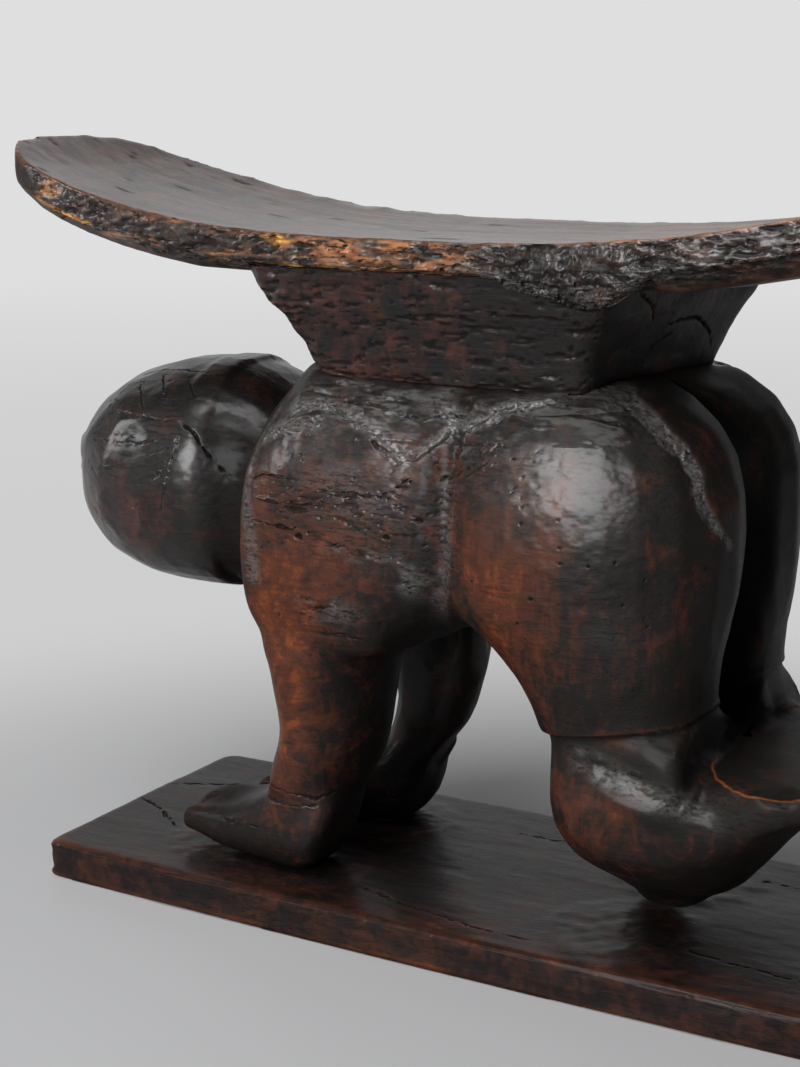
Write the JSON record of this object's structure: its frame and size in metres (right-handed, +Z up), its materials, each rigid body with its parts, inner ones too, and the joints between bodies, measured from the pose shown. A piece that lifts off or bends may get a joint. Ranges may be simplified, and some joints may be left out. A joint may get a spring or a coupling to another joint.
{
  "type": "ashanti stool",
  "caption": "Carved wooden stool: a figure on hands and knees, on a flat foot board, carries a flared block and a curved saddle seat.",
  "frame": {"origin": "middle of the foot board's underside, on the floor", "axes": "+X along the stool from the figure's head to its feet, +Y towards the figure's right side, +Z up"},
  "size_m": [0.6438, 0.218, 0.472],
  "materials": {
    "board_wood": "gloss varnish, worn at the edges",
    "figure_wood": "gloss varnish over adze marks",
    "head_wood": "gloss varnish over adze marks",
    "block_wood": "gloss varnish over rough end grain",
    "seat_wood": "satin, polished by use"
  },
  "bodies": {
    "root": {"base_plank": "board_wood", "left_hand": "figure_wood", "right_hand": "figure_wood", "left_arm": "figure_wood", "right_arm": "figure_wood", "left_lower_leg": "figure_wood", "right_lower_leg": "figure_wood", "left_foot": "figure_wood", "right_foot": "figure_wood", "left_thigh": "figure_wood", "right_thigh": "figure_wood", "torso": "figure_wood", "neck": "figure_wood", "head": "head_wood", "carrying_block": "block_wood", "seat": "seat_wood"}
  },
  "joints": []
}
